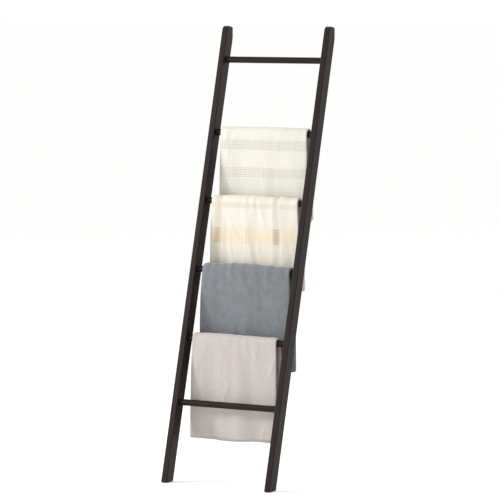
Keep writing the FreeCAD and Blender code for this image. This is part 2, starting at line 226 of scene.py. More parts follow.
@hangs(
    cloth_length=1480, front_drop=350, fold_depth=8, hem_sag=6, hem_skew=4, gather_left=4,
    gather_right=6, puff=4, puff_place=0.35,
)
class IvoryTwill(bpy.types.PropertyGroup):
    """Brushed twill, yarn-dyed with broad golden and tan lines"""

    ground: shade("Ground", "Ivory of the plain twill", "#d6d1c4")
    gold: shade("Gold", "Golden crosswise bands", "#d8cbaa")
    tan: shade("Tan", "Tan lengthwise stripes", "#9d8777")
    thread: shade("Thread", "Topstitching along the hem", "#cfc6b0")
    twill_pitch: length("Twill pitch", "Distance between the slanting twill lines", 4)
    hem_width: length("Hem width", "Distance of the topstitching from the hem", 15)
    stitch_spacing: length("Stitch spacing", "Distance between stitches of the hem", 7)
    check: length("Check", "Distance between the stripes, both ways", 270)
    first_band: length("First band", "From the hem in front to a golden band", 212)
    band_width: length("Band width", "Width of a golden band", 60)
    first_stripe: length("First stripe", "From the open edge to a tan stripe", 33)
    stripe_width: length("Stripe width", "Width of a tan stripe", 30)


@hangs(
    cloth_length=1688, front_drop=402, fold_depth=8, hem_sag=8, hem_skew=-4, gather_left=9,
    gather_right=6, puff=9, puff_place=0.48,
)
class GreyFleece(bpy.types.PropertyGroup):
    """Plain fleece with a whip-stitched edge"""

    pile: shade("Pile", "Slate grey of the pile", "#72767a")
    pile_dark: shade("Dark pile", "Pile that lies the other way", "#666b6f")
    thread: shade("Thread", "Whip stitching round the edge", "#9ba1a4")
    stitch_spacing: length("Stitch spacing", "Distance between whip stitches", 8)
    stitch_reach: length("Stitch reach", "How far a whip stitch goes in from the edge", 9)


@hangs(
    cloth_length=1622, front_drop=386, fold_depth=13, hem_sag=3, hem_skew=5, gather_left=5,
    gather_right=5, puff=4, puff_place=0.3,
)
class BlushWeave(bpy.types.PropertyGroup):
    """Soft basket weave with a topstitched hem"""

    warp: shade("Warp", "Blush threads along the cloth", "#bdb4b0")
    weft: shade("Weft", "Greige threads across the cloth", "#ada5a0")
    thread: shade("Thread", "Topstitching along the hem", "#b9a9a3")
    weave_pitch: length("Weave pitch", "Width of one square of the basket weave", 5)
    hem_width: length("Hem width", "Distance of the topstitching from the hem", 18)
    stitch_spacing: length("Stitch spacing", "Distance between stitches of the hem", 7)


class Studio(bpy.types.PropertyGroup):
    """Floor, light and camera round the ladder"""

    floor: shade("Floor", "Plain pale floor", "#e9e9e8")
    floor_glow: FloatProperty(
        name="Floor glow", description="Light that the floor adds, to match the surround",
        default=0.17, min=0,
    )
    sky: shade("Surround", "Pale light from all round", "#ffffff")
    azimuth: FloatProperty(
        name="Azimuth", description="Degrees that the camera stands to the right",
        default=30.2,
    )
    elevation: FloatProperty(
        name="Elevation", description="Degrees that the camera looks down", default=4.8
    )
    distance: FloatProperty(
        name="Distance", description="From the camera to the ladder", unit="LENGTH",
        default=12.0,
    )
    lens: FloatProperty(name="Lens", description="Focal length, mm", default=221.0)


# ---- Materials ----


# What the names of a tree's own kinds of node start with.
PREFIXES = {"SHADER": "ShaderNode", "GEOMETRY": "GeometryNode"}
# A Mix node has sockets for each type of data. These are the places of its colours.
FIRST, SECOND, MIXED = 6, 7, 2


def add(tree, kind, inputs=(), output=0, stops=(), **settings):
    """Adds one node with its settings and links. Gives one output, or a node without any.

    The kind has its operation after a space. Inputs are values, or sockets to link from, in
    order or by name. Stops are a colour ramp's places, with a colour or a grey's brightness.
    """
    kind, _, operation = kind.partition(" ")
    node = tree.nodes.new(kind if "Node" in kind else PREFIXES[tree.type] + kind)
    if operation:
        node.operation = operation
    for name, value in settings.items():
        setattr(node, name, value)
    for name, value in inputs.items() if isinstance(inputs, dict) else enumerate(inputs):
        if isinstance(value, bpy.types.NodeSocket):
            tree.links.new(value, node.inputs[name])
        else:
            node.inputs[name].default_value = value
    if stops:
        elements = node.color_ramp.elements
        while len(elements) < len(stops):
            elements.new(1.0)
        for element, (place, colour) in zip(elements, stops):
            element.position = place
            element.color = grey(colour) if isinstance(colour, float) else colour
    return node.outputs[output] if node.outputs else node


def new_material(name):
    """An empty material and its node tree."""
    material = bpy.data.materials.new(name)
    material.use_nodes = True
    material.node_tree.nodes.clear()
    return material, material.node_tree


def surfaced(material, inputs):
    """A material, ended with one surface shader."""
    surface = add(material.node_tree, "BsdfPrincipled", inputs)
    add(material.node_tree, "OutputMaterial", {"Surface": surface})
    return material


def mottled(tree, colour, spots, *stops):
    """A colour made darker and lighter by spots; stops are (place, light) pairs."""
    light = add(tree, "ValToRGB", (spots,), stops=stops)
    return add(
        tree, "Mix", {0: 1.0, FIRST: colour, SECOND: light}, MIXED, data_type="RGBA",
        blend_type="MULTIPLY",
    )


def stained_wood(name, turn, rail_middle=None, rail_half=None):
    """Espresso-stained hardwood, sawn or turned, sanded and lacquered.

    The stain sinks deeper into the soft early wood and the pores, so growth rings and
    short dark streaks show through a satin film. turn brings the grain onto Z. Where the
    middle line and half sizes of a rail are given, the stain is rubbed thin at its corners.
    """
    wood = bpy.context.scene.ladder_wood
    material, tree = new_material(name)
    place = add(tree, "TexCoord", output="Object")
    board = add(tree, "Mapping", {"Vector": place, "Rotation": turn})
    slow = add(tree, "Mapping", {"Vector": board, "Scale": (9.0, 9.0, 1.1)})
    wander = add(tree, "TexNoise", {"Vector": slow, "Scale": 1.0, "Detail": 3.0})
    # The heart of the tree lies outside the board, so its rings run nearly straight.
    heart = (0.045, 0.11, 0.0)
    from_heart = add(tree, "VectorMath ADD", (board, heart))
    flat = add(tree, "VectorMath MULTIPLY", (from_heart, (1, 1, 0)))
    radius = add(tree, "VectorMath LENGTH", (flat,), "Value")
    wandered = add(tree, "Math MULTIPLY_ADD", (wander, 0.06, radius))
    years = add(tree, "Math DIVIDE", (wandered, wood.ring_width))
    ring = add(tree, "Math FRACT", (years,))
    fine = (1 / wood.grain_width, 1 / wood.grain_width, 1 / wood.grain_length)
    streaks = add(tree, "Mapping", {"Vector": board, "Scale": fine})
    grain = add(
        tree, "TexNoise", {"Vector": streaks, "Scale": 1.0, "Detail": 5.0, "Roughness": 0.62}
    )
    light, deep = wood.stain_light, wood.stain_deep
    rings = ((0.0, light), (0.55, wood.stain), (0.92, deep), (1.0, light))
    stain = add(tree, "ValToRGB", (ring,), stops=rings)
    streak = add(tree, "ValToRGB", (grain,), stops=((0.36, deep), (0.62, light)))
    colour = add(tree, "Mix", {0: 0.55, FIRST: stain, SECOND: streak}, MIXED, data_type="RGBA")
    patch = add(tree, "TexNoise", {"Vector": board, "Scale": 6.0, "Detail": 2.0})
    colour = mottled(tree, colour, patch, (0.35, 0.82), (0.65, 1.12))
    if rail_middle:
        # At an eased corner the distances from both faces are small at once.
        right = add(tree, "SeparateXYZ", (board,))
        right = add(tree, "Math ABSOLUTE", (right,))
        corner = 0.0
        for way, middle, half in zip(
            (right, add(tree, "SeparateXYZ", (board,), "Y")), rail_middle, rail_half
        ):
            off = add(tree, "Math SUBTRACT", (way, middle))
            off = add(tree, "Math ABSOLUTE", (off,))
            inside = add(tree, "Math SUBTRACT", (half, off))
            corner = add(tree, "Math ADD", (inside, corner))
        corner = add(tree, "Math DIVIDE", (corner, wood.edge_ease))
        rubbed = add(tree, "Math MULTIPLY_ADD", (grain, 1.6, corner))
        wear = add(tree, "ValToRGB", (rubbed,), stops=((0.9, 0.75), (1.75, 0.0)))
        worn = {0: wear, FIRST: colour, SECOND: wood.worn}
        colour = add(tree, "Mix", worn, MIXED, data_type="RGBA")
    pore = add(tree, "ValToRGB", (grain,), stops=((0.30, 0.0), (0.42, 1.0)))
    relief = {"Height": pore, "Strength": 0.35, "Distance": 0.2 * MM}
    return surfaced(material, {
        "Base Color": colour,
        "Roughness": add(tree, "ValToRGB", (grain,), stops=((0.3, 0.58), (0.65, 0.40))),
        "Specular IOR Level": 0.14, "Coat Weight": 0.07, "Coat Roughness": 0.22,
        "Normal": add(tree, "Bump", relief),
    })


def plain_finish(name, colours, roughness, grit, height, metallic=0.0, sheen=0.0):
    """A finish with a fine all-over grit: moulded rubber, zinc plate or pressed felt."""
    material, tree = new_material(name)
    place = add(tree, "TexCoord", output="Object")
    speck = add(
        tree, "TexNoise", {"Vector": place, "Scale": 1 / grit, "Detail": 4.0, "Roughness": 0.6}
    )
    colour, rough = (
        add(tree, "ValToRGB", (speck,), stops=((0.3, low), (0.7, high)))
        for low, high in (colours, (roughness - 0.06, roughness + 0.06))
    )
    relief = {"Height": speck, "Strength": 0.6, "Distance": height}
    return surfaced(material, {
        "Base Color": colour, "Roughness": rough, "Metallic": metallic,
        "Sheen Weight": sheen, "Normal": add(tree, "Bump", relief),
    })


def cloth_places(tree):
    """Where a point lies on the flat cloth, in metres: both ways, across and along."""
    uv = add(tree, "UVMap", uv_map="cloth")
    across = add(tree, "SeparateXYZ", (uv,))
    return uv, across, across.node.outputs["Y"]


def cloth_finish(material, colour, height, depth, roughness, sheen):
    """A cloth's material, ended with its colour and relief under a soft sheen."""
    relief = {"Height": height, "Strength": 0.9, "Distance": depth}
    return surfaced(material, {
        "Base Color": colour, "Normal": add(material.node_tree, "Bump", relief),
        "Roughness": roughness, "Specular IOR Level": 0.25, "Sheen Weight": sheen,
        "Sheen Roughness": 0.5,
    })


def wave(tree, place, spacing, start=0.0):
    """A sine wave over a place, from minus one to one, that rises through its start."""
    turn = FULL_TURN / spacing
    around = add(tree, "Math MULTIPLY_ADD", (place, turn, -start * turn))
    return add(tree, "Math SINE", (around,))


def stripe(tree, place, spacing, offset, width, softness):
    """One inside repeating stripes and nought between them, with a soft edge."""
    moved = add(tree, "Math SUBTRACT", (place, offset))
    near = add(tree, "Math PINGPONG", (moved, spacing / 2))
    inside = add(tree, "Math SUBTRACT", ((width + softness) / 2, near))
    return add(tree, "Math DIVIDE", (inside, softness), use_clamp=True)


def lined_stripe(tree, place, spacing, offset, width):
    """A stripe with a thin pale line woven in near each of its edges."""
    whole = stripe(tree, place, spacing, offset, width, 5 * MM)
    outer = stripe(tree, place, spacing, offset, 0.72 * width, 1.5 * MM)
    inner = stripe(tree, place, spacing, offset, 0.72 * width - 5 * MM, 1.5 * MM)
    line = add(tree, "Math SUBTRACT", (outer, inner))
    return add(tree, "Math MULTIPLY_ADD", (line, -0.6, whole))


def cream_knit(knit):
    """Combed cotton in stocking stitch: rows of soft V-shaped stitches, painted darker in their
    hollows as painted shade.

    A real stitch here is about 4 mm wide. It is drawn three times as wide, so that it shows.
    """
    material, tree = new_material("combed_cotton_stocking_stitch")
    _, across, along = cloth_places(tree)
    wale = add(tree, "Math MULTIPLY_ADD", (across, 1 / knit.stitch_width, 0.5))
    from_middle = add(tree, "Math PINGPONG", (wale, 0.5))
    course = add(tree, "Math DIVIDE", (along, knit.stitch_height))
    slanted = add(tree, "Math MULTIPLY_ADD", (from_middle, 1.5, course))
    strand = wave(tree, slanted, 1.0)
    strand = add(tree, "Math MULTIPLY_ADD", (strand, 0.5, 0.5))
    # The two legs of a stitch part at its middle and sink at the edge of the wale.
    leg = add(tree, "Math ABSOLUTE", (wave(tree, from_middle, 1.0),))
    leg = add(tree, "Math SQRT", (leg,))
    height = add(tree, "Math MULTIPLY", (strand, leg))
    # Between the garter ridges of a band the yarn is painted darker, as painted shade.
    pitch = knit.ridge_spacing
    band = stripe(tree, along, knit.band_spacing, knit.first_band, 4.2 * pitch, 2 * MM)
    ridge_shade = wave(tree, along, pitch, knit.first_band - 0.75 * pitch)
    ridge_shade = add(tree, "Math MULTIPLY_ADD", (ridge_shade, -0.35, 0.35))
    ridge_shade = add(tree, "Math MULTIPLY", (band, ridge_shade))
    lit = add(tree, "Math SUBTRACT", (height, ridge_shade))
    # Painted shade: where a stitch sinks, or lies between ridges, its yarn is painted towards
    # the hollow colour.
    colour = add(tree, "ValToRGB", (lit,), stops=((0.0, knit.hollow_shade), (0.5, knit.yarn)))
    return cloth_finish(material, colour, height, 1.2 * MM, 0.9, 0.25)


def ivory_twill(twill):
    """Wool-blend twill, brushed: fine slanting lines under a soft nap.

    The lines are yarn-dyed, so they show at full strength only where warp and weft of one
    colour cross. A real twill line is about 2 mm apart. It is drawn twice that, to show.
    """
    material, tree = new_material("brushed_windowpane_twill")
    uv, across, along = cloth_places(tree)
    slant = add(tree, "Math ADD", (across, along))
    line = wave(tree, slant, twill.twill_pitch)
    line = add(tree, "Math MULTIPLY_ADD", (line, 0.5, 0.5))
    check, first_gold, first_tan = twill.check, twill.first_band, twill.first_stripe
    gold = lined_stripe(tree, along, check, first_gold, twill.band_width)
    fine_weft = stripe(tree, along, check, first_gold + 0.44 * check, 20 * MM, 4 * MM)
    tan = lined_stripe(tree, across, check, first_tan, twill.stripe_width)
    fine_tan = stripe(tree, across, check, first_tan + check / 2, 6 * MM, 2 * MM)
    weft = add(tree, "Math MAXIMUM", (gold, add(tree, "Math MULTIPLY", (fine_weft, 0.2))))
    lines = add(tree, "Math MULTIPLY_ADD", (line, 0.3, 0.5))
    weft = add(tree, "Math MULTIPLY", (weft, lines))
    warp = add(tree, "Math MAXIMUM", (tan, add(tree, "Math MULTIPLY", (fine_tan, 0.6))))
    lines = add(tree, "Math MULTIPLY_ADD", (line, -0.2, 1.0))
    warp = add(tree, "Math MULTIPLY", (warp, lines))
    crossing = add(tree, "Math MULTIPLY_ADD", (gold, 0.45, 0.3))
    warp = add(tree, "Math MULTIPLY", (warp, crossing))
    warp = add(tree, "Math MAXIMUM", (warp, add(tree, "Math MULTIPLY", (fine_weft, 0.14))))
    colour = twill.ground
    for strength, dye in ((weft, twill.gold), (warp, twill.tan)):
        dyed = {0: strength, FIRST: colour, SECOND: dye}
        colour = add(tree, "Mix", dyed, MIXED, data_type="RGBA")
    nap = add(tree, "TexNoise", {"Vector": uv, "Scale": 260.0, "Detail": 4.0})
    colour = mottled(tree, colour, nap, (0.3, 0.93), (0.7, 1.03))
    height = add(tree, "Math MULTIPLY_ADD", (nap, 0.8, line))
    return cloth_finish(material, colour, height, 0.35 * MM, 0.92, 0.3)


def grey_fleece(fleece):
    """Polyester fleece, brushed and sheared: a short pile that lies in soft patches."""
    material, tree = new_material("sheared_polyester_fleece")
    uv, _, _ = cloth_places(tree)
    lie = add(
        tree, "TexNoise", {"Vector": uv, "Scale": 38.0, "Detail": 3.0, "Distortion": 0.4}
    )
    tuft = add(tree, "TexNoise", {"Vector": uv, "Scale": 420.0, "Detail": 5.0})
    both = add(tree, "Math ADD", (tuft, lie))
    mixed = add(tree, "Math MULTIPLY", (both, 0.5))
    tones = ((0.38, fleece.pile_dark), (0.60, fleece.pile))
    colour = add(tree, "ValToRGB", (mixed,), stops=tones)
    return cloth_finish(material, colour, tuft, 0.8 * MM, 0.95, 0.45)


def blush_weave(weave):
    """Cotton and linen in a basket weave: small raised squares of warp and of weft.

    A real square here is about 3 mm wide. It is drawn wider, so that it shows.
    """
    material, tree = new_material("cotton_linen_basket_weave")
    uv, across, along = cloth_places(tree)
    warp, weft = (wave(tree, place, 2 * weave.weave_pitch) for place in (across, along))
    over = add(tree, "Math MULTIPLY", (warp, weft))
    which = add(tree, "Math MULTIPLY_ADD", (over, 0.5, 0.5))
    threads = {0: which, FIRST: weave.weft, SECOND: weave.warp}
    colour = add(tree, "Mix", threads, MIXED, data_type="RGBA")
    slub = add(tree, "TexNoise", {"Vector": uv, "Scale": 130.0, "Detail": 3.0})
    colour = mottled(tree, colour, slub, (0.3, 0.92), (0.7, 1.04))
    raised = add(tree, "Math ABSOLUTE", (over,))
    raised = add(tree, "Math MULTIPLY_ADD", (slub, 0.5, raised))
    return cloth_finish(material, colour, raised, 0.6 * MM, 0.9, 0.3)


def thread_finish(name, colour):
    """Spun sewing thread: matt, with the slant of its twist."""
    material, tree = new_material(name)
    place = add(tree, "TexCoord", output="Object")
    coils = {"Vector": place, "Scale": 900.0, "Distortion": 1.5}
    twist = add(tree, "TexWave", coils, "Fac", bands_direction="DIAGONAL")
    # The grooves of the twist are painted darker, as painted shade.
    tones = ((0.2, darker(colour, 0.8)), (0.7, colour))
    shaded = add(tree, "ValToRGB", (twist,), stops=tones)
    return cloth_finish(material, shaded, twist, 0.15 * MM, 0.8, 0.2)


# ---- Mesh helpers ----


def new_object(name, data):
    """An object in the scene for a mesh, a light or a camera."""
    made = bpy.data.objects.new(name, data)
    bpy.context.scene.collection.objects.link(made)
    return made


def dress(piece, material):
    """Gives a piece its one finish."""
    piece.data.materials.clear()
    piece.data.materials.append(material)


def grid_faces(rows, columns):
    """Quads of a grid whose points are stored row after row."""
    start = np.arange(rows - 1)[:, None] * columns + np.arange(columns - 1)[None, :]
    start = start.ravel()
    return np.stack([start, start + columns, start + columns + 1, start + 1], axis=1)


def settled(name, shape):
    """A bmesh as a mesh, with its points and faces in an order that is the same each run.

    Bevelling and subdividing leave them in a chance order, and fibres are scattered by it.
    """
    points = sorted(tuple(vertex.co) for vertex in shape.verts)
    numbers = {point: number for number, point in enumerate(points)}
    faces = []
    for face in shape.faces:
        ring = [numbers[tuple(vertex.co)] for vertex in face.verts]
        first = ring.index(min(ring))
        faces.append(ring[first:] + ring[:first])
    mesh = bpy.data.meshes.new(name)
    mesh.from_pydata(points, [], sorted(faces))
    shape.free()
    return mesh


def baked(piece):
    """The evaluated mesh of a piece, which takes its modifiers' place."""
    graph = bpy.context.evaluated_depsgraph_get()
    made = bpy.data.meshes.new_from_object(
        piece.evaluated_get(graph), preserve_all_data_layers=True, depsgraph=graph
    )
    piece.modifiers.clear()
    old = piece.data
    piece.data = made
    made.name = piece.name
    bpy.data.meshes.remove(old)
    return piece


# ---- Throws ----


class Fold:
    """How a cloth lies across its rung once folded: its cross-section, sample by sample.

    The cloth is first folded in half along its length, then in three across, back and forth.
    Each sample lies between two fold lines, at a height over the rung, with the direction
    that the cloth's upper layer is on.
    """

    def __init__(self, width, ply, step):
        self.width, self.ply = width, ply
        self.rows = []
        for panel in range(PANELS):
            height = ply * (PLIES - 1 - 2 * panel)
            # Every other panel lies upside down and turns back on the left.
            way = 1.0 if panel % 2 == 0 else -1.0
            count = max(2, round(width / (HIDDEN_STEP if panel else step)))
            for index in range(count + 1):
                self.rows.append((panel, index / count, 0.0, height, 0.0, way))
            if panel == PANELS - 1:
                break
            for index in range(1, TURN_STEPS):
                angle = math.pi / 2 - math.pi * index / TURN_STEPS
                out, rise = math.cos(angle), math.sin(angle)
                shift, level = out * way * ply, height - ply + rise * ply
                self.rows.append((panel + 1, 0.0, shift, level, out, rise * way))
        self.table = np.array(self.rows)

    def fold_lines(self, path, seed):
        """Where each fold line and each open edge runs across the rung, along the cloth."""
        random = np.random.default_rng(seed)
        inset = 1.5 * self.ply + 0.5 * MM
        lines = []
        for number in range(PANELS + 1):
            side = -1.0 if number % 2 == 0 else 1.0
            open_edge = number in (0, PANELS)
            base = side * (self.width / 2 - (1 * MM if open_edge else inset))
            drift = random.uniform(0.5, 2.0) * MM
            turns, start = random.uniform(3, 7), random.uniform(0, FULL_TURN)
            stray = random.uniform(0.0, 2.5) * MM
            lines.append(base - side * (stray + drift * (1 + np.sin(turns * path + start)) / 2))
        return np.array(lines)

    def outermost(self):
        """Numbers of the outermost panel's samples, from its open edge to its first fold."""
        return np.arange(sum(1 for row in self.rows if row[0] == 0))

    def distances(self):
        """Distance across the flat cloth at each sample."""
        panel, share, shift, height, _, _ = self.table.T
        place = (share - 0.5) * self.width * (1 - panel % 2 * 2)
        place = np.where(shift != 0, np.sign(shift) * self.width / 2 + shift, place)
        steps = np.hypot(np.diff(place), np.diff(height))
        return np.concatenate([[0.0], np.cumsum(steps)])


def lengthwise(front, back, ply, step, crown):
    """Samples along the cloth: place on the path over the rung, side of the half fold."""
    def leg_and_crown(leg_step):
        front_leg = np.linspace(-front, -crown, max(2, round((front - crown) / leg_step) + 1))
        back_leg = np.linspace(crown, back, max(2, round((back - crown) / leg_step) + 1))
        over = np.linspace(-crown, crown, round(2 * crown / (step * 0.9)) + 1)
        return np.concatenate([front_leg, over[1:-1], back_leg])

    upper, lower = leg_and_crown(step), leg_and_crown(HIDDEN_LEG_STEP)[::-1]
    angle = np.pi * np.arange(1, TURN_STEPS) / TURN_STEPS
    path = np.concatenate([upper, back + ply / 2 * np.sin(angle), lower])
    offset = np.concatenate(
        [np.full(len(upper), ply / 2), ply / 2 * np.cos(angle), np.full(len(lower), -ply / 2)]
    )
    length = front + back
    along = np.concatenate([upper + front, np.full(len(angle), length), length + back - lower])
    return path, offset, along, len(upper)


def hang_profile(share):
    """How far a fold has opened at a share of the way down: quickly, then evenly."""
    share = np.clip(share, 0.0, 1.0)
    return 1.0 - (1.0 - share) ** 2.1


def hanging_folds(turn, share, depth, folds, lag, drift):
    """Outward swell of a hanging leg: vertical folds that wander as they go down.

    Each fold rises gently from the left and falls off steeply on its right.
    """
    phase = folds * turn + lag + drift * 0.1 * np.sin(2.1 * share + 3.0 * turn)
    around = FULL_TURN * phase
    rounded = np.sin(around - 0.6 * np.sin(around))
    ripple = np.sin(FULL_TURN * (2.3 * folds * turn + 0.35 * share + 0.4 * lag))
    swell = 0.5 + 0.42 * rounded + 0.08 * ripple * share
    return depth * swell * hang_profile(share)


def creases(across, along, width, total, seed):
    """Outward relief of soft creases that run mostly down the outermost ply."""
    random = np.random.default_rng(seed + 100)
    relief = np.zeros_like(across)
    for _ in range(CREASES):
        east = across - random.uniform(0, width)
        north = along - random.uniform(0, total)
        tilt = random.normal(0, 0.3)
        half_length = random.uniform(30, 95) * MM
        half_width = random.uniform(7, 15) * MM
        height = random.uniform(0.6, 2.4) * MM
        run = north * math.cos(tilt) + east * math.sin(tilt)
        off = east * math.cos(tilt) - north * math.sin(tilt)
        off = off - 0.12 * run * run / half_length
        relief += height * np.exp(-((run / half_length) ** 2) - (off / half_width) ** 2)
    return relief


def make_throw(
    node, rung, settings, folds, ply, cloth, seed, relief=None, steps=(4 * MM, 5 * MM)
):
    """A whole throw, folded and hung over a rung, as a mesh with its flat cloth in UV.

    Its outermost panel is sampled in these steps across it, and its outer half along it.
    Every layer keeps its own length over the rung, so that the outer layers end higher at
    the hem than the inner ones, as they do when a folded stack is bent.
    """
    low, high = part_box(node)
    rung_low, rung_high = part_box(rung)
    centre = (rung_low + rung_high) / 2
    radius = (rung_high.z - rung_low.z) / 2 + CLOTH_GAP
    middle = (low.x + high.x) / 2
    width = high.x - low.x + 2 * EDGE_SPREAD
    fold = Fold(width, ply, steps[0])
    total = settings.cloth_length / 2
    # The drop counts from the middle of the stack, so the solid's hem lies halfway up it.
    over_rung = (radius + ply * PLIES / 2) * math.pi / 2
    front = settings.front_drop + over_rung
    crown = (radius + ply * PLIES) * math.pi / 2 + CROWN_MARGIN
    path, offset, along, upper = lengthwise(front, total - front, ply, steps[1], crown)
    lines = fold.fold_lines(path, seed)

    panel, share, shift, height, side_x, side_up = fold.table.T
    panel = panel.astype(int)
    nearer, further = lines[panel], lines[np.minimum(panel + 1, PANELS)]
    across = nearer + (further - nearer) * share[:, None]
    across = across + shift[:, None] + offset[None, :] * side_x[:, None]
    lift = height[:, None] + offset[None, :] * side_up[:, None]

    turned = radius + lift
    quarter = turned * math.pi / 2
    distance = np.abs(path)[None, :]
    side = np.sign(path)[None, :] * np.ones_like(lift)
    angle = np.minimum(distance, quarter) / turned
    down = np.maximum(distance - quarter, 0.0)
    depth = down / (np.where(side < 0, front, total - front) - over_rung)

    turn = across / width + 0.5
    out = np.where(
        side < 0,
        hanging_folds(turn, depth, settings.fold_depth, folds, lag=-0.03, drift=1.0),
        hanging_folds(turn, depth, settings.fold_depth, folds, lag=0.3, drift=-1.0),
    )
    loosened = 1.0 + LOOSENING * hang_profile(depth)
    outer = (panel == 0) & (side_up > 0.99)
    visible = outer[:, None] & (np.arange(len(path)) < upper)[None, :]
    inward = np.minimum(share, 1 - share)[:, None] * width
    held = np.clip(inward / RELIEF_MARGIN, 0, 1)
    u = np.repeat(fold.distances()[:, None], len(path), axis=1)
    v = np.repeat(along[None, :], len(panel), axis=0)
    raised = creases(u, v, width, total, seed) + (relief(u, v) if relief else 0.0)

    # Over the rung the plies stand apart and gather, most in the outer ones.
    outerness = lift / (ply * PLIES)
    near = np.exp(-((down / PUFF_REACH) ** 2))
    domed = settings.puff * np.exp(-(((turn - settings.puff_place) / DOME) ** 2))
    pleat = np.sin(FULL_TURN * (8.3 * turn + 0.35 * np.sin(5.0 * turn + seed)))
    gathered = (settings.gather_left + settings.gather_right) * 0.06 * (1 + pleat)
    raised = visible * held * raised + outerness * near * (domed + gathered)

    reach = radius + lift * loosened + out + raised
    crown_reach = radius + lift + raised
    y = side * np.where(down > 0, reach, crown_reach * np.sin(angle))
    z = np.where(down > 0, -down, crown_reach * np.cos(angle))
    sag = settings.hem_sag * (np.sin(math.pi * np.clip(turn, 0, 1)) - 0.5)
    sag = sag + settings.hem_skew * (turn - 0.5) * side
    draw = np.where(across < 0, settings.gather_left, settings.gather_right) / (width / 2)
    pinch = 1.0 - draw * np.exp(-((down / PINCH_REACH) ** 1.4)) + HEM_FLARE * depth**2
    waves = FULL_TURN * (1.7 * turn + 0.11 * panel[:, None] + 0.1 * seed)
    drop = (sag + HEM_STRAY * np.sin(waves)) * depth
    points = np.stack([middle + across * pinch, centre.y + y, centre.z + z - drop], axis=2)

    mesh = bpy.data.meshes.new(node)
    mesh.from_pydata(points.reshape(-1, 3).tolist(), [], grid_faces(*lift.shape).tolist())
    layer = mesh.uv_layers.new(name="cloth")
    corner = np.zeros(len(mesh.loops), np.int32)
    mesh.loops.foreach_get("vertex_index", corner)
    places = np.stack([u.ravel()[corner], v.ravel()[corner]], axis=1)
    layer.data.foreach_set("uv", places.astype(np.float32).ravel())
    mesh.shade_smooth()
    piece = new_object(f"{node}_cloth", mesh)
    solid = piece.modifiers.new("cloth thickness", "SOLIDIFY")
    solid.thickness = cloth
    solid.offset = 0.0
    return baked(piece), points, (fold, upper, along), width


def hang_throw(kind, rung, slot, settings, finish, sew=None, **folded):
    """Builds a throw in its CAD solid's place and finishes it."""
    node = f"{kind}_throw"
    piece, points, sampling, width = make_throw(node, rung, settings, **folded)
    dress(piece, finish(settings))
    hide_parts(node)
    stitches = [sew(kind, points, sampling, settings, folded["cloth"])] if sew else []
    for part in (piece, *stitches):
        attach(part, f"{node}_body")


# ---- Operators ----


class LADDER_OT_stage(bpy.types.Operator):
    """Sets up the pale floor, the soft studio light and the camera"""

    bl_idname = "ladder.stage"
    bl_label = "Floor, Light and Camera"

    def execute(self, context):
        studio = context.scene.studio
        low, high = CAD_BOX
        middle = (low + high) / 2
        turn, tip = math.radians(studio.azimuth), math.radians(studio.elevation)
        right = Vector((math.cos(turn), math.sin(turn), 0))
        back = Vector(
            (math.sin(turn) * math.cos(tip), -math.cos(turn) * math.cos(tip), math.sin(tip))
        )
        aim = middle + right * AIM_RIGHT + back.cross(right) * AIM_UP
        camera = new_object("camera", bpy.data.cameras.new("camera"))
        camera.data.lens = studio.lens
        camera.data.sensor_width = 36.0
        camera.data.clip_end = 400.0
        camera.location = aim + back * studio.distance
        camera.rotation_euler = (-back).to_track_quat("-Z", "Y").to_euler()
        context.scene.camera = camera

        floor = new_object("floor", bpy.data.meshes.new("floor"))
        shape = bmesh.new()
        bmesh.ops.create_circle(shape, cap_ends=True, radius=FLOOR_RADIUS, segments=96)
        shape.to_mesh(floor.data)
        shape.free()
        paint, _ = new_material("matt_floor_paint")
        dress(floor, surfaced(paint, {
            "Base Color": studio.floor, "Roughness": 0.9, "Specular IOR Level": 0.1,
            "Emission Color": grey(1.0), "Emission Strength": studio.floor_glow,
        }))

        for name, place, size, power in LIGHTS:
            light = new_object(name, bpy.data.lights.new(name, "AREA"))
            light.data.energy = power
            light.data.size = size
            light.location = place
            towards = middle - Vector(place)
            light.rotation_euler = towards.to_track_quat("-Z", "Y").to_euler()

        world = bpy.data.worlds.new("surround")
        world.use_nodes = True
        tree = world.node_tree
        tree.nodes.clear()
        sky = add(tree, "Background", {"Color": studio.sky, "Strength": 1.0})
        add(tree, "OutputWorld", {"Surface": sky})
        context.scene.world = world
        context.scene.view_settings.view_transform = "Standard"
        return {"FINISHED"}


class LADDER_OT_woodwork(bpy.types.Operator):
    """Stains and lacquers the rails, the rungs and the screw plugs"""

    bl_idname = "ladder.woodwork"
    bl_label = "Rails, Rungs and Plugs"

    def execute(self, context):
        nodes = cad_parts
        low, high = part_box("left_rail")
        lean = rail_lean()
        half_width = (high.x - low.x) / 2
        rung_low, rung_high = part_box("rung_1")
        rung = (rung_low + rung_high) / 2
        # In the rail's own frame the middle line lies at one depth, here the rung's.
        middle = (-(low.x + high.x) / 2, rung.y * math.cos(lean) - rung.z * math.sin(lean))
        board = stained_wood(
            "espresso_stained_hardwood_board", (lean, 0, 0), middle,
            (half_width, half_width * 2),
        )
        dowel = stained_wood("espresso_stained_hardwood_dowel", (0, -math.pi / 2, 0))
        for side in ("left", "right"):
            dress(nodes[f"{side}_rail"], board)
            dress(nodes[f"{side}_screw_plugs"], dowel)
        for number in range(1, 7):
            dress(nodes[f"rung_{number}"], dowel)
        return {"FINISHED"}


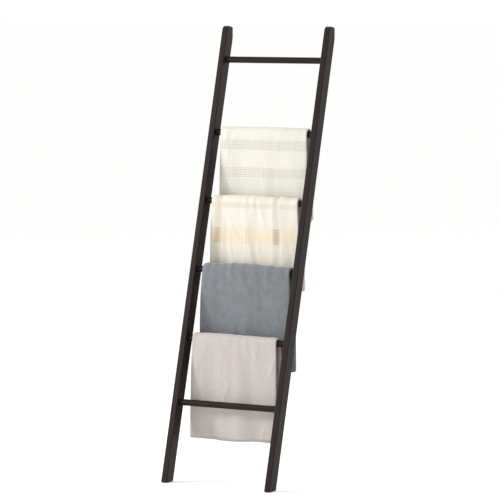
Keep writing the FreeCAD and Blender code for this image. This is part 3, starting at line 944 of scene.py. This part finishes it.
class LADDER_OT_fittings(bpy.types.Operator):
    """Finishes the rubber feet and the screws, and builds the felt bumpers"""

    bl_idname = "ladder.fittings"
    bl_label = "Feet, Screws and Bumpers"

    def execute(self, context):
        fittings = context.scene.ladder_fittings
        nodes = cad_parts
        rubber = plain_finish(
            "moulded_rubber", (darker(fittings.rubber, 0.7), fittings.rubber), 0.72,
            1.5 * MM, 0.1 * MM,
        )
        zinc = plain_finish(
            "zinc_plated_steel", (linear("#9da0a3"), fittings.zinc), 0.32, 1 * MM, 0.02 * MM,
            metallic=1.0,
        )
        felt = plain_finish(
            "pressed_wool_felt", (fittings.felt, fittings.felt_light), 0.95, 1.2 * MM,
            0.5 * MM, sheen=0.4,
        )
        for side in ("left", "right"):
            dress(nodes[f"{side}_foot_pad"], rubber)
            dress(nodes[f"{side}_rung_screws"], zinc)
            make_bumper(f"{side}_wall_bumper", felt, fittings)
        return {"FINISHED"}


class LADDER_OT_cream_throw(bpy.types.Operator):
    """Folds the cream knitted throw and hangs it over the fifth rung"""

    bl_idname = "ladder.cream_throw"
    bl_label = "Cream Knitted Throw"

    def execute(self, context):
        knit = context.scene.cream_knit

        def ridges(_, along):
            """Bands of four garter ridges, and a garter border at the hem."""
            spacing, pitch = knit.band_spacing, knit.ridge_spacing
            place = np.mod(along - knit.first_band + spacing / 2, spacing) - spacing / 2
            banded = (np.abs(place) < 2.1 * pitch) | (along < 2.4 * pitch)
            wave = np.cos(FULL_TURN * (along - knit.first_band + pitch / 2) / pitch)
            return knit.ridge_height * banded * (0.5 + 0.5 * wave) ** 1.5

        hang_throw(
            "cream", "rung_5", "cream_knit", knit, cream_knit, folds=2.5, ply=1.6 * MM,
            cloth=1.35 * MM, seed=11, relief=ridges, steps=(5.8 * MM, 3 * MM),
        )
        return {"FINISHED"}


class LADDER_OT_ivory_throw(bpy.types.Operator):
    """Folds the ivory twill throw and hangs it over the fourth rung"""

    bl_idname = "ladder.ivory_throw"
    bl_label = "Ivory Twill Throw"

    def execute(self, context):
        hang_throw(
            "ivory", "rung_4", "ivory_plaid", context.scene.ivory_twill, ivory_twill,
            top_stitches, folds=3.0, ply=1.4 * MM, cloth=1.2 * MM, seed=23,
        )
        return {"FINISHED"}


class LADDER_OT_grey_throw(bpy.types.Operator):
    """Folds the slate-grey fleece and hangs it over the third rung"""

    bl_idname = "ladder.grey_throw"
    bl_label = "Grey Fleece Throw"

    def execute(self, context):
        hang_throw(
            "grey", "rung_3", "grey_fleece", context.scene.grey_fleece, grey_fleece,
            whip_stitches, folds=2.5, ply=1.6 * MM, cloth=1.35 * MM, seed=37,
        )
        return {"FINISHED"}


class LADDER_OT_blush_throw(bpy.types.Operator):
    """Folds the blush woven throw and hangs it over the second rung"""

    bl_idname = "ladder.blush_throw"
    bl_label = "Blush Woven Throw"

    def execute(self, context):
        hang_throw(
            "blush", "rung_2", "blush_weave", context.scene.blush_weave, blush_weave,
            top_stitches, folds=2.35, ply=1.3 * MM, cloth=1.1 * MM, seed=53,
        )
        return {"FINISHED"}


# ---- Ladder pieces ----


def rail_lean():
    """How far the rails lean back, from where the lowest and highest rungs are."""
    places = []
    for name in ("rung_1", "rung_6"):
        low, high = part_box(name)
        places.append((low + high) / 2)
    run = places[1] - places[0]
    return math.atan2(run.y, run.z)


def make_bumper(node, felt, fittings):
    """A felt bumper: a crowned pad with rounded rims and loose fibres on its face."""
    low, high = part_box(node)
    size = high - low
    half = size / 2
    centre = (low + high) / 2
    shape = bmesh.new()
    bmesh.ops.create_cube(shape, size=1.0)
    for vertex in shape.verts:
        place = vertex.co
        thickness = size.y * PAD_THICK
        vertex.co = Vector((place.x * size.x, place.y * thickness, place.z * size.z))
    corners = [edge for edge in shape.edges
               if abs(edge.verts[0].co.y - edge.verts[1].co.y) > 1e-6]
    bmesh.ops.bevel(
        shape, geom=corners, offset=3 * MM, segments=5, profile=0.5, affect="EDGES"
    )
    rims = [edge for edge in shape.edges if min(end.co.y for end in edge.verts) > 0]
    bmesh.ops.bevel(
        shape, geom=rims, offset=0.7 * MM, segments=3, profile=0.5, affect="EDGES"
    )
    bmesh.ops.triangulate(shape, faces=shape.faces)
    bmesh.ops.subdivide_edges(shape, edges=shape.edges, cuts=2, use_grid_fill=True)
    for vertex in shape.verts:
        # The face swells a little in its middle, and stays flat where it meets the wood.
        place = vertex.co
        crown = max(0.0, 1 - (place.x / half.x) ** 2) * max(0.0, 1 - (place.z / half.z) ** 2)
        if place.y > 0:
            place.y += crown * size.y * PAD_CROWN
        place.y -= size.y * PAD_SETBACK
        vertex.co = centre + place
    bmesh.ops.recalc_face_normals(shape, faces=shape.faces)
    pad = new_object(f"{node}_felt", settled(f"{node}_felt", shape))
    pad.data.shade_smooth()
    dress(pad, felt)
    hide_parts(node)
    for piece in (pad, felt_fibres(f"{node}_fibres", pad, felt, fittings)):
        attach(piece, "ladder")


def node_group(name, *inputs):
    """An empty geometry node tree, the sockets of its named inputs, and its last node."""
    tree = bpy.data.node_groups.new(name, "GeometryNodeTree")
    for label, kind in (("Geometry", "Geometry"), *inputs):
        tree.interface.new_socket(label, in_out="INPUT", socket_type=f"NodeSocket{kind}")
    tree.interface.new_socket("Geometry", in_out="OUTPUT", socket_type="NodeSocketGeometry")
    return tree, add(tree, "NodeGroupInput").node.outputs, add(tree, "NodeGroupOutput")


def finish_group(tree, source, end, material):
    """Ends a tree with real geometry in its material."""
    real = add(tree, "RealizeInstances", (source,))
    smooth = add(tree, "SetShadeSmooth", (real,))
    done = add(tree, "SetMaterial", {"Geometry": smooth, "Material": material})
    tree.links.new(done, end.inputs[0])


def run_group(piece, tree, values):
    """Runs a tree on a piece with named inputs, and keeps the result as a plain mesh."""
    modifier = piece.modifiers.new(tree.name, "NODES")
    modifier.node_group = tree
    for item in tree.interface.items_tree:
        if item.in_out == "INPUT" and item.name in values:
            modifier[item.identifier] = values[item.name]
    return baked(piece)


def felt_fibres(name, pad, felt, fittings):
    """Loose curled fibres scattered over a felt bumper."""
    tree, given, end = node_group(
        "felt fibres", ("Density", "Float"), ("Length", "Float"), ("Material", "Material")
    )
    scatter = {"Mesh": given["Geometry"], "Density": given["Density"], "Seed": 4}
    points = add(tree, "DistributePointsOnFaces", scatter)
    line = add(
        tree, "CurvePrimitiveBezierSegment",
        {"Resolution": 3, "Start": (0, 0, 0), "Start Handle": (0.2, 0, 0.5),
         "End Handle": (0.7, 0.1, 0.6), "End": (0.8, 0.3, 0.25)},
    )
    profile = add(tree, "CurvePrimitiveCircle", {"Resolution": 3, "Radius": 0.035})
    hair = add(tree, "CurveToMesh", {"Curve": line, "Profile Curve": profile})
    spin = add(
        tree, "FunctionNodeRandomValue",
        {"Min": (-0.4, -0.4, 0.0), "Max": (0.4, 0.4, FULL_TURN), "Seed": 9},
        data_type="FLOAT_VECTOR",
    )
    turn = add(
        tree, "FunctionNodeRotateRotation", (points.node.outputs["Rotation"], spin),
        rotation_space="LOCAL",
    )
    copies = add(
        tree, "InstanceOnPoints",
        {"Points": points, "Instance": hair, "Rotation": turn, "Scale": given["Length"]},
    )
    finish_group(tree, copies, end, given["Material"])
    fibres = new_object(name, pad.data.copy())
    density = fittings.fibres / sum(face.area for face in pad.data.polygons)
    values = {"Density": density, "Length": fittings.fibre_length, "Material": felt}
    return run_group(fibres, tree, values)


def stitch_group():
    """Thread loops at even steps along a line, each laid and faced as its line says."""
    tree, given, end = node_group(
        "stitches", ("Spacing", "Float"), ("Reach", "Float"), ("Half Height", "Float"),
        ("Thread", "Float"), ("Material", "Material"),
    )
    line = add(tree, "MeshToCurve", {"Mesh": given["Geometry"]})
    steps = {"Curve": line, "Length": given["Spacing"]}
    even = add(tree, "ResampleCurve", steps, mode="LENGTH")
    lay, face = (
        add(tree, "InputNamedAttribute", {"Name": name}, data_type="FLOAT_VECTOR")
        for name in ("lay", "face")
    )
    align = "FunctionNodeAlignRotationToVector"
    turned = add(tree, align, {"Vector": lay}, axis="X")
    faced = add(tree, align, {"Rotation": turned, "Vector": face}, axis="Z", pivot_axis="X")
    ring = add(tree, "CurvePrimitiveCircle", {"Resolution": 12, "Radius": 1.0})
    size = {"X": given["Reach"], "Y": given["Half Height"], "Z": 1.0}
    scale = add(tree, "ShaderNodeCombineXYZ", size)
    upright = {"Geometry": ring, "Rotation": (math.pi / 2, 0, 0), "Scale": scale}
    loop = add(tree, "Transform", upright)
    profile = add(tree, "CurvePrimitiveCircle", {"Resolution": 5, "Radius": given["Thread"]})
    thread = add(tree, "CurveToMesh", {"Curve": loop, "Profile Curve": profile})
    copies = add(
        tree, "InstanceOnPoints", {"Points": even, "Instance": thread, "Rotation": faced}
    )
    finish_group(tree, copies, end, given["Material"])
    return tree


def line_mesh(name, runs):
    """Runs of points joined by edges, each point with the way its stitch lies and faces."""
    mesh = bpy.data.meshes.new(name)
    points, edges, lays, faces = [], [], [], []
    for places, lay, face in runs:
        first = len(points)
        points.extend(map(tuple, places))
        edges.extend((first + step, first + step + 1) for step in range(len(places) - 1))
        lays.append(lay)
        faces.append(face)
    mesh.from_pydata(points, edges, [])
    for label, values in (("lay", lays), ("face", faces)):
        attribute = mesh.attributes.new(label, "FLOAT_VECTOR", "POINT")
        attribute.data.foreach_set("vector", np.concatenate(values).astype(np.float32).ravel())
    return new_object(name, mesh)


def unit(vectors):
    return vectors / np.maximum(np.linalg.norm(vectors, axis=-1, keepdims=True), 1e-9)


def stitch_run(points, rows, columns, inward, inset=0.0):
    """Places on a line of samples, and the ways that its stitches lie and face."""
    along, across = (unit(np.gradient(points, axis=axis)[rows, columns]) for axis in (1, 0))
    lay = across if inward else along
    return points[rows, columns] + lay * inset, lay, unit(np.cross(across, along))


def sewn(kind, runs, settings, reach, radius, half_height, finish):
    """Thread loops along runs of places on a throw."""
    values = {"Spacing": settings.stitch_spacing, "Reach": reach, "Half Height": half_height,
              "Thread": radius, "Material": thread_finish(finish, settings.thread)}
    return run_group(line_mesh(f"{kind}_throw_stitching", runs), stitch_group(), values)


def whip_stitches(kind, points, sampling, settings, cloth):
    """Whip stitches over the front hem and the open side edge of the outermost layer."""
    fold, upper, _ = sampling
    outermost = fold.outermost()
    reach, radius = settings.stitch_reach / 2, 0.7 * MM
    runs = [
        stitch_run(points, outermost, np.zeros_like(outermost), False, reach * 0.9),
        stitch_run(points, np.zeros(upper, int), np.arange(upper), True, reach * 0.9),
    ]
    finish = f"{kind}_whipping_thread"
    return sewn(kind, runs, settings, reach, radius, cloth / 2 + radius * 0.6, finish)


def top_stitches(kind, points, sampling, settings, cloth):
    """Running stitches on the outermost layer: two rows at its hem, one at its open edge."""
    fold, upper, along_cloth = sampling
    rows = fold.outermost()
    inner, outer = settings.hem_width, settings.hem_width * 0.6
    side_row = int(np.argmin(np.abs(fold.distances()[rows] - outer)))
    rows = rows[side_row:]
    runs = []
    for distance in (inner, outer):
        column = int(np.argmin(np.abs(along_cloth[:upper] - distance)))
        runs.append(stitch_run(points, rows, np.full(len(rows), column), True))
    columns = np.arange(column, upper)
    runs.append(stitch_run(points, np.full(len(columns), side_row), columns, False))
    reach, radius = settings.stitch_spacing * 0.36, 0.45 * MM
    finish = f"{kind}_topstitch_thread"
    return sewn(kind, runs, settings, reach, radius, cloth / 2 + radius * 0.7, finish)


# ---- Panel and registration ----


OPERATORS = (
    LADDER_OT_stage,
    LADDER_OT_woodwork,
    LADDER_OT_fittings,
    LADDER_OT_cream_throw,
    LADDER_OT_ivory_throw,
    LADDER_OT_grey_throw,
    LADDER_OT_blush_throw,
)

GROUPS = {
    "studio": Studio,
    "ladder_wood": LadderWood,
    "ladder_fittings": LadderFittings,
    "cream_knit": CreamKnit,
    "ivory_twill": IvoryTwill,
    "grey_fleece": GreyFleece,
    "blush_weave": BlushWeave,
}


class LADDER_PT_panel(bpy.types.Panel):
    """The steps that dress the ladder, with their sizes and colours"""

    bl_label = "Blanket Ladder"
    bl_space_type = "VIEW_3D"
    bl_region_type = "UI"
    bl_category = "Blanket Ladder"

    def draw(self, context):
        for operator in OPERATORS:
            self.layout.operator(operator.bl_idname)
        for name, group in GROUPS.items():
            box = self.layout.box()
            box.label(text=group.__doc__)
            for field in group.__annotations__:
                box.prop(getattr(context.scene, name), field)


CLASSES = (*GROUPS.values(), *OPERATORS, LADDER_PT_panel)


def register():
    for kind in CLASSES:
        bpy.utils.register_class(kind)
    for name, group in GROUPS.items():
        setattr(bpy.types.Scene, name, PointerProperty(type=group))


def unregister():
    for name in GROUPS:
        delattr(bpy.types.Scene, name)
    for kind in reversed(CLASSES):
        bpy.utils.unregister_class(kind)


def main():
    register()
    bpy.ops.ladder.stage()
    bpy.ops.ladder.woodwork()
    bpy.ops.ladder.fittings()
    bpy.ops.ladder.cream_throw()
    bpy.ops.ladder.ivory_throw()
    bpy.ops.ladder.grey_throw()
    bpy.ops.ladder.blush_throw()


if __name__ == "__main__":
    main()
